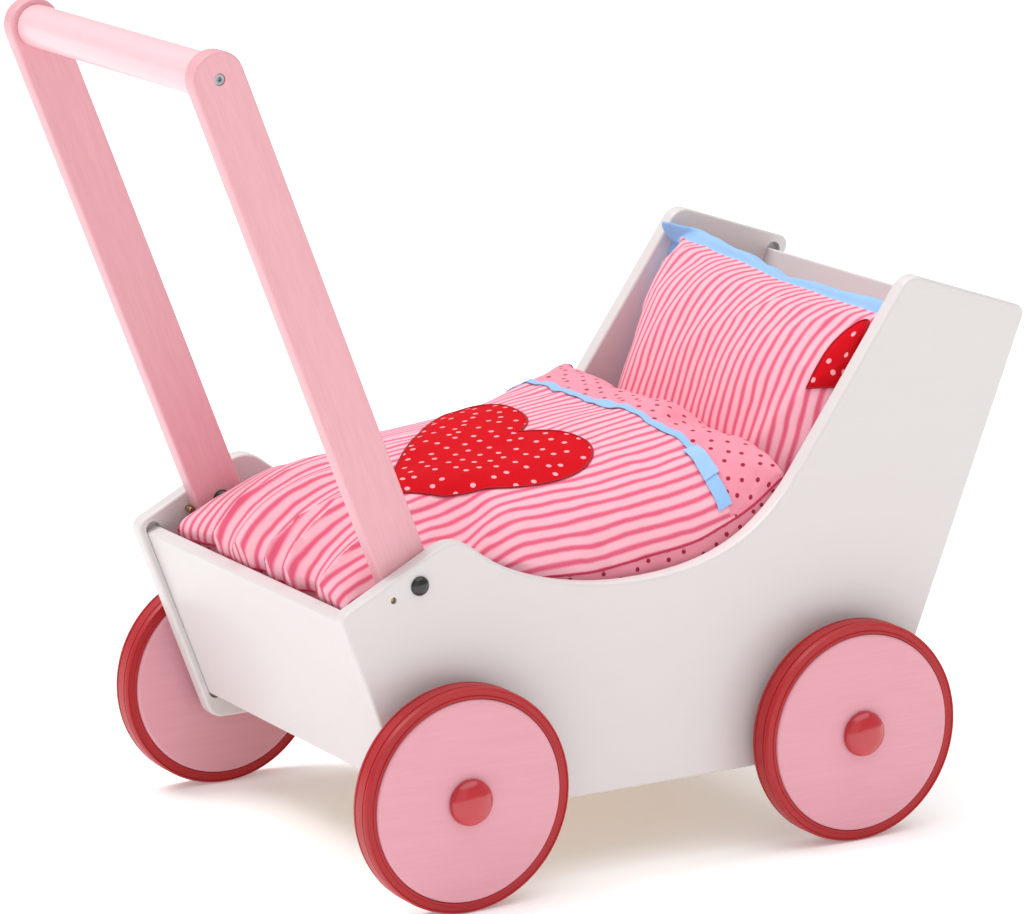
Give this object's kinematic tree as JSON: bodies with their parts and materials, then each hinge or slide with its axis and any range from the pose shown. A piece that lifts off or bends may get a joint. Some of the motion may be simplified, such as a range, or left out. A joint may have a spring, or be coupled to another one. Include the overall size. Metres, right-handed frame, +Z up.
{
  "type": "doll pram",
  "caption": "Wooden doll pram: shaped side panels on disc wheels with rubber tyres, a fold-forward push handle, and a mattress, duvet and pillow.",
  "frame": {"origin": "on the ground, below the middle of the overall length and width", "axes": "+X along the length from the handle (foot) end to the head end, +Y across to the left of someone pushing it, +Z up"},
  "size_m": [0.5702, 0.3566, 0.5283],
  "materials": {
    "white_wood": "white satin lacquer on birch or beech board",
    "pink_wood": "pink stain under satin lacquer, fine grain showing",
    "wheel_wood": "pink stain under matt lacquer",
    "red_lacquer": "red gloss lacquer on turned wood",
    "red_rubber": "red rubber, satin",
    "black_plastic": "black, glossy",
    "steel": "zinc plated",
    "brass": "plain brass pin, dull",
    "plywood": "clear lacquered birch plywood",
    "mattress_cotton": "plain woven cotton over foam",
    "duvet_cotton": "pink and dark pink striped cotton",
    "pillow_cotton": "pink and dark pink striped cotton with a blue hem"
  },
  "bodies": {
    "pram": {"side_panel_left": "white_wood", "pivot_outer_cap_left": "black_plastic", "pivot_bolt_left": "steel", "stop_pin_left": "brass", "side_panel_right": "white_wood", "pivot_outer_cap_right": "black_plastic", "pivot_bolt_right": "steel", "stop_pin_right": "brass", "foot_board": "white_wood", "head_board": "white_wood", "floor_board": "plywood", "axle_foot": "steel", "axle_spacer_foot_left": "black_plastic", "axle_clip_foot_left": "steel", "axle_spacer_foot_right": "black_plastic", "axle_clip_foot_right": "steel", "axle_head": "steel", "axle_spacer_head_left": "black_plastic", "axle_clip_head_left": "steel", "axle_spacer_head_right": "black_plastic", "axle_clip_head_right": "steel", "mattress": "mattress_cotton"},
    "handle": {"handle_arm_left": "pink_wood", "bar_screw_left": "steel", "pivot_inner_cap_left": "black_plastic", "handle_arm_right": "pink_wood", "bar_screw_right": "steel", "pivot_inner_cap_right": "black_plastic", "handle_bar": "pink_wood"},
    "wheel_foot_left": {"wheel_disc_foot_left": "wheel_wood", "tyre_foot_left": "red_rubber", "hub_cap_foot_left": "red_lacquer"},
    "wheel_foot_right": {"wheel_disc_foot_right": "wheel_wood", "tyre_foot_right": "red_rubber", "hub_cap_foot_right": "red_lacquer"},
    "wheel_head_left": {"wheel_disc_head_left": "wheel_wood", "tyre_head_left": "red_rubber", "hub_cap_head_left": "red_lacquer"},
    "wheel_head_right": {"wheel_disc_head_right": "wheel_wood", "tyre_head_right": "red_rubber", "hub_cap_head_right": "red_lacquer"},
    "duvet": {"duvet": "duvet_cotton"},
    "pillow": {"pillow": "pillow_cotton"}
  },
  "joints": [
    {"name": "handle_fold", "type": "hinge", "parent": "pram", "child": "handle", "pos_m": [-0.14968, 0, 0.199], "axis": [0, 1, 0], "range_deg": [0, 80]},
    {"name": "roll_foot_left", "type": "hinge", "parent": "pram", "child": "wheel_foot_left", "pos_m": [-0.13318, 0.1615, 0.07], "axis": [0, 1, 0], "continuous": true},
    {"name": "roll_foot_right", "type": "hinge", "parent": "pram", "child": "wheel_foot_right", "pos_m": [-0.13318, -0.1615, 0.07], "axis": [0, 1, 0], "continuous": true},
    {"name": "roll_head_left", "type": "hinge", "parent": "pram", "child": "wheel_head_left", "pos_m": [0.14682, 0.1615, 0.07], "axis": [0, 1, 0], "continuous": true},
    {"name": "roll_head_right", "type": "hinge", "parent": "pram", "child": "wheel_head_right", "pos_m": [0.14682, -0.1615, 0.07], "axis": [0, 1, 0], "continuous": true},
    {"name": "duvet_lift", "type": "slide", "parent": "pram", "child": "duvet", "axis": [0, 0, 1], "range_m": [0, 0.35]},
    {"name": "pillow_lift", "type": "slide", "parent": "pram", "child": "pillow", "axis": [0, 0, 1], "range_m": [0, 0.3]}
  ]
}
